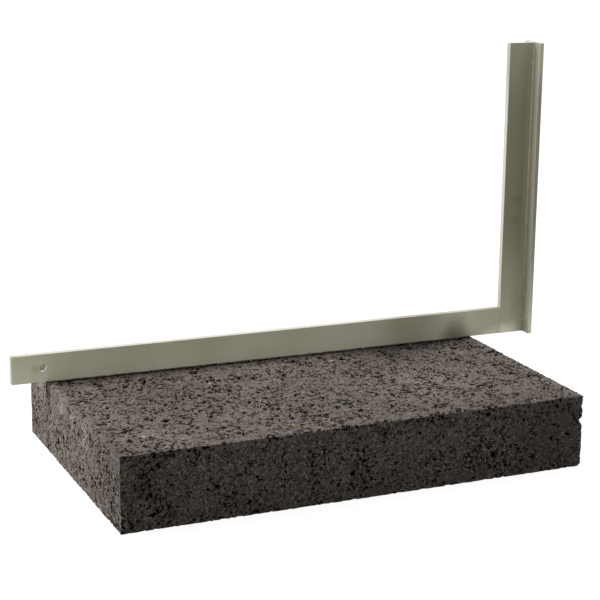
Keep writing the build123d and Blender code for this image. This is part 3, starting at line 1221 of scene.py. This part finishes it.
    def within(
        self, points: Array, at_wall: Array, outline: Outline, skirt_mm: float
    ) -> tuple[Array, Array]:
        """Finds the places on the faces that lie within an outline.

        Args:
            points: Places on the faces, in millimetres.
            at_wall: For each place, the axes along which it lies on a face.
            outline: The outline of a stone or a pore.
            skirt_mm: How far outside the outline its share fades to nothing.

        Returns:
            The numbers of the places, and for each its share from 0 to 1.
        """
        wall = self.wall(outline.axis, outline.at_high)
        on_face = at_wall[:, outline.axis] & (np.abs(points[:, outline.axis] - wall) < TOUCH_MM)
        flat = np.delete(points, outline.axis, axis=1)
        low = outline.corners.min(axis=0) - skirt_mm
        high = outline.corners.max(axis=0) + skirt_mm
        near = np.nonzero(on_face & np.all((flat > low) & (flat < high), axis=1))[0]
        return near, 1.0 - smooth_step(outline.gap(flat[near]), (-self.outline_inset_mm, skirt_mm))

    def worn_stones(self, stones: StoneSet) -> Object:
        """Rounds and roughens the stones of a node.

        Args:
            stones: The node that holds them, and how they are worn.

        Returns:
            One object with all the stones.
        """
        piece = link(f"worn_{stones.node}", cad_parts[stones.node].data.copy())
        weld = piece.modifiers.new("weld", "WELD")
        weld.merge_threshold = TOUCH_MM * METRES_PER_MM
        remesh = piece.modifiers.new("remesh", "REMESH")
        remesh.mode = "VOXEL"
        remesh.voxel_size = stones.voxel_mm * METRES_PER_MM
        mesh = settle(piece)
        mesh.materials.clear()
        points = read_vertices(mesh, "co") / METRES_PER_MM
        wide, small = self.wide_pits.at(points), self.small_pits.at(points)
        pits = stones.wear_mm * (self.wide_pit_share * wide + (1.0 - self.wide_pit_share) * small)
        points = np.clip(points - read_vertices(mesh, "normal") * pits[:, None], self.low, self.high)
        points[:, UP] = np.minimum(points[:, UP], self.high[UP] - self.seat_mm - self.dish(points))
        mesh.vertices.foreach_set("co", (points * METRES_PER_MM).ravel())
        middles = np.array([solid.mean(axis=0) for solid in self.islands(stones.node)])
        owners = np.argmin(np.linalg.norm(points[:, None, :] - middles[None, :, :], axis=2), axis=1)
        tones = np.random.default_rng(self.seed).uniform(-1.0, 1.0, len(middles))
        mesh.attributes.new("tone", "FLOAT", "POINT").data.foreach_set("value", tones[owners])
        mesh.update()
        log.info("%s: %d stones, %d faces", piece.name, len(middles), len(mesh.polygons))
        return piece


@dataclass
class FlangedSquare:
    """The steel square: blade, stock web and flange, with the filler metal of their joints."""

    blade_stains_and_painted_light: tuple[StainOrPaintedLight, ...] = (
        # An olive mark beside the hanging hole.
        StainOrPaintedLight((-213.8, 75.4, 75.4), radius_mm=6.0, colour="#8A8452", strength=0.4),
        # Painted reflection of the shaded slab: darker steel over the slab's right end, darkest at the lower
        # edge where the slab stops.
        StainOrPaintedLight((148.0, 68.8, 75.5), radius_mm=60.0, colour="#6A6655", strength=0.42),
        StainOrPaintedLight((188.0, 68.2, 62.0), radius_mm=30.0, colour="#3E3A2E", strength=0.66),
        # Greyer steel near the corner, and a painted highlight at the blade's lower edge, where it mirrors
        # the floor.
        StainOrPaintedLight((232.0, 67.4, 75.5), radius_mm=50.0, colour="#8E8C78", strength=0.6),
        StainOrPaintedLight((226.0, 67.5, 58.0), radius_mm=18.0, colour="#DAD8CA", strength=0.55),
    )
    web_stains_and_painted_light: tuple[StainOrPaintedLight, ...] = (
        # A painted highlight at the corner, where the web mirrors the floor, grey at the top, and two small
        # dark marks between.
        StainOrPaintedLight((243.0, 67.0, 59.0), radius_mm=20.0, colour="#DAD8CA", strength=0.65),
        StainOrPaintedLight((226.0, 69.0, 320.0), radius_mm=48.0, colour="#86847A", strength=0.42),
        StainOrPaintedLight((248.0, 67.0, 192.0), radius_mm=9.0, colour="#55533F", strength=0.35),
        StainOrPaintedLight((248.0, 67.0, 173.0), radius_mm=7.0, colour="#55533F", strength=0.3),
    )
    flange_stains_and_painted_light: tuple[StainOrPaintedLight, ...] = (
        # A painted highlight at the foot, and a little brighter at the top.
        StainOrPaintedLight((262.0, 60.0, 66.0), radius_mm=50.0, colour="#D0CEC0", strength=0.5),
        StainOrPaintedLight((262.0, 60.0, 332.0), radius_mm=50.0, colour="#CAC8BC", strength=0.2),
    )

    def build(self) -> None:
        """Dresses the square's bars and joints."""
        blade = GroundSteel(
            "ground_steel_blade", Grind.ALONG_BLADE, steel="#BCBAAA", oil="#B3B19C", side="#B2B0A6",
            stains_and_painted_light=self.blade_stains_and_painted_light,
        )
        # The web's pale side colour is a painted highlight on its inner narrow side.
        web = GroundSteel(
            "ground_steel_stock", Grind.UP_STOCK, steel="#A3A192", oil="#9A9883", side="#C9C5BE",
            stains_and_painted_light=self.web_stains_and_painted_light, flange_light_share=0.6,
        )
        flange = GroundSteel(
            "ground_steel_flange", Grind.UP_STOCK, steel="#A9A79A", oil="#A19F8C", side="#A3A193",
            stains_and_painted_light=self.flange_stains_and_painted_light, grip_shade="#7A7968",
        )
        finishes = {
            "blade": blade,
            "stock_web": web,
            "stock_flange": flange,
            "corner_braze": blade,
            "flange_braze": BrassBraze(),
        }
        for name, finish in finishes.items():
            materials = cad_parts[name].data.materials
            materials.clear()
            materials.append(finish.material())
            log.info("%s: %s", name, type(finish).__name__)


@dataclass(frozen=True)
class Lamp:
    """One soft lamp, which the camera itself doesn't see."""

    name: str
    place_m: Point
    aim_m: Point
    size_m: Span
    watts: float

    def hang(self) -> None:
        """Hangs the lamp and turns it to its aim."""
        light = bpy.data.lights.new(self.name, "AREA")
        light.shape = "RECTANGLE"
        light.size, light.size_y = self.size_m
        light.energy = self.watts
        lamp = link(self.name, light)
        lamp.location = self.place_m
        lamp.rotation_mode = "QUATERNION"
        lamp.rotation_quaternion = (Vector(self.aim_m) - Vector(self.place_m)).to_track_quat("-Z", "Y")
        lamp.visible_camera = False


@dataclass
class Studio:
    """A pale floor, a white surround, two soft lamps, a weak card in front and the camera."""

    camera_mm: Point = (-576.6, -1320.1, 511.4)
    aim_mm: Point = (-1.0, 0.0, 134.5)
    roll_degrees: float = 0.57
    lens_mm: float = 104.36
    sensor_mm: float = 36.0
    floor_half_m: float = 6.0
    bounce_grey: str = "#8A8A88"
    shadow_catch: str = "#75757A"
    white_share: float = 0.93
    shadow_reach_m: Span = (0.45, 0.9)
    mirror_white: float = 0.64
    ambient: float = 0.13
    lamps: tuple[Lamp, ...] = (
        Lamp("left_softbox", (-1.15, 0.3, 0.68), aim_m=(-0.1, 0.0, 0.05), size_m=(0.5, 0.5), watts=16.5),
        Lamp("overhead_panel", (0.7, 0.5, 1.9), aim_m=(0.3, 0.2, 0.0), size_m=(2.6, 0.8), watts=36.0),
        Lamp("front_card", (0.0, -1.6, 0.1), aim_m=(0.0, -0.13, 0.03), size_m=(2.0, 0.2), watts=1.3),
    )

    def build(self) -> None:
        """Builds the stage."""
        self.lay_floor()
        self.surround()
        for lamp in self.lamps:
            lamp.hang()
        self.aim_camera()
        bpy.context.scene.view_settings.view_transform = "Standard"

    def lay_floor(self) -> None:
        """Lays the floor: white to the eye and to mirrors, with a shadow, and grey to bounced light."""
        half = self.floor_half_m
        corners = [(-half, -half, 0.0), (half, -half, 0.0), (half, half, 0.0), (-half, half, 0.0)]
        mesh = bpy.data.meshes.new("floor")
        mesh.from_pydata(corners, [], [(0, 1, 2, 3)])
        floor = link("floor", mesh)
        material = bpy.data.materials.new("pale_floor")
        nodes = Nodes(material)
        camera, mirrored = self.rays(nodes)
        colour = nodes.add("Mix", (camera, self.bounce_grey, self.shadow_catch), data_type="RGBA")
        paint = nodes.add("BsdfDiffuse", {"Color": colour})
        away = nodes.add("VectorMath", (nodes.place,), operation="LENGTH")
        fade = (away, *self.shadow_reach_m, self.white_share, 1.0)
        level = nodes.add("MapRange", fade, interpolation_type="SMOOTHSTEP")
        in_mirror = nodes.add("Math", (mirrored, self.mirror_white), operation="MULTIPLY")
        share = nodes.add("Math", (camera, level, in_mirror), operation="MULTIPLY_ADD")
        white = nodes.add("Emission", {"Color": WHITE, "Strength": share})
        both = nodes.add("AddShader", (paint, white))
        nodes.add("OutputMaterial", {"Surface": both})
        mesh.materials.append(material)

    def rays(self, nodes: Nodes) -> tuple[Source, Source]:
        """Tells rays that show the background from rays that gather light.

        Args:
            nodes: The nodes that ask.

        Returns:
            1 for a ray from the eye, and 1 for a ray from a mirror or through glass.
        """
        path = nodes.add("LightPath")
        seen_in = (path.outputs["Is Glossy Ray"], path.outputs["Is Transmission Ray"])
        return path.outputs["Is Camera Ray"], nodes.add("Math", seen_in, operation="MAXIMUM")

    def surround(self) -> None:
        """Makes the surround white where it is seen, and a soft grey light otherwise."""
        world = bpy.data.worlds.new("white_surround")
        nodes = Nodes(world)
        light = nodes.add("Background", {"Color": WHITE, "Strength": self.ambient})
        white = nodes.add("Background", {"Color": WHITE, "Strength": 1.0})
        seen = nodes.add("Math", self.rays(nodes), operation="MAXIMUM")
        both = nodes.add("MixShader", (seen, light, white))
        nodes.add("OutputWorld", {"Surface": both})
        bpy.context.scene.world = world

    def aim_camera(self) -> None:
        """Sets the camera at the photograph's point of view."""
        lens = bpy.data.cameras.new("camera")
        lens.sensor_width = self.sensor_mm
        lens.lens = self.lens_mm
        place = Vector(self.camera_mm) * METRES_PER_MM
        aim = Vector(self.aim_mm) * METRES_PER_MM
        level = (aim - place).to_track_quat("-Z", "Y")
        camera = link("camera", lens)
        camera.location = place
        camera.rotation_mode = "QUATERNION"
        camera.rotation_quaternion = level @ Quaternion((0.0, 0.0, 1.0), math.radians(self.roll_degrees))
        bpy.context.scene.camera = camera


def main() -> None:
    """Builds the slab, the square and the studio."""
    AsphaltSlab().build()
    FlangedSquare().build()
    Studio().build()


if __name__ == "__main__":
    main()
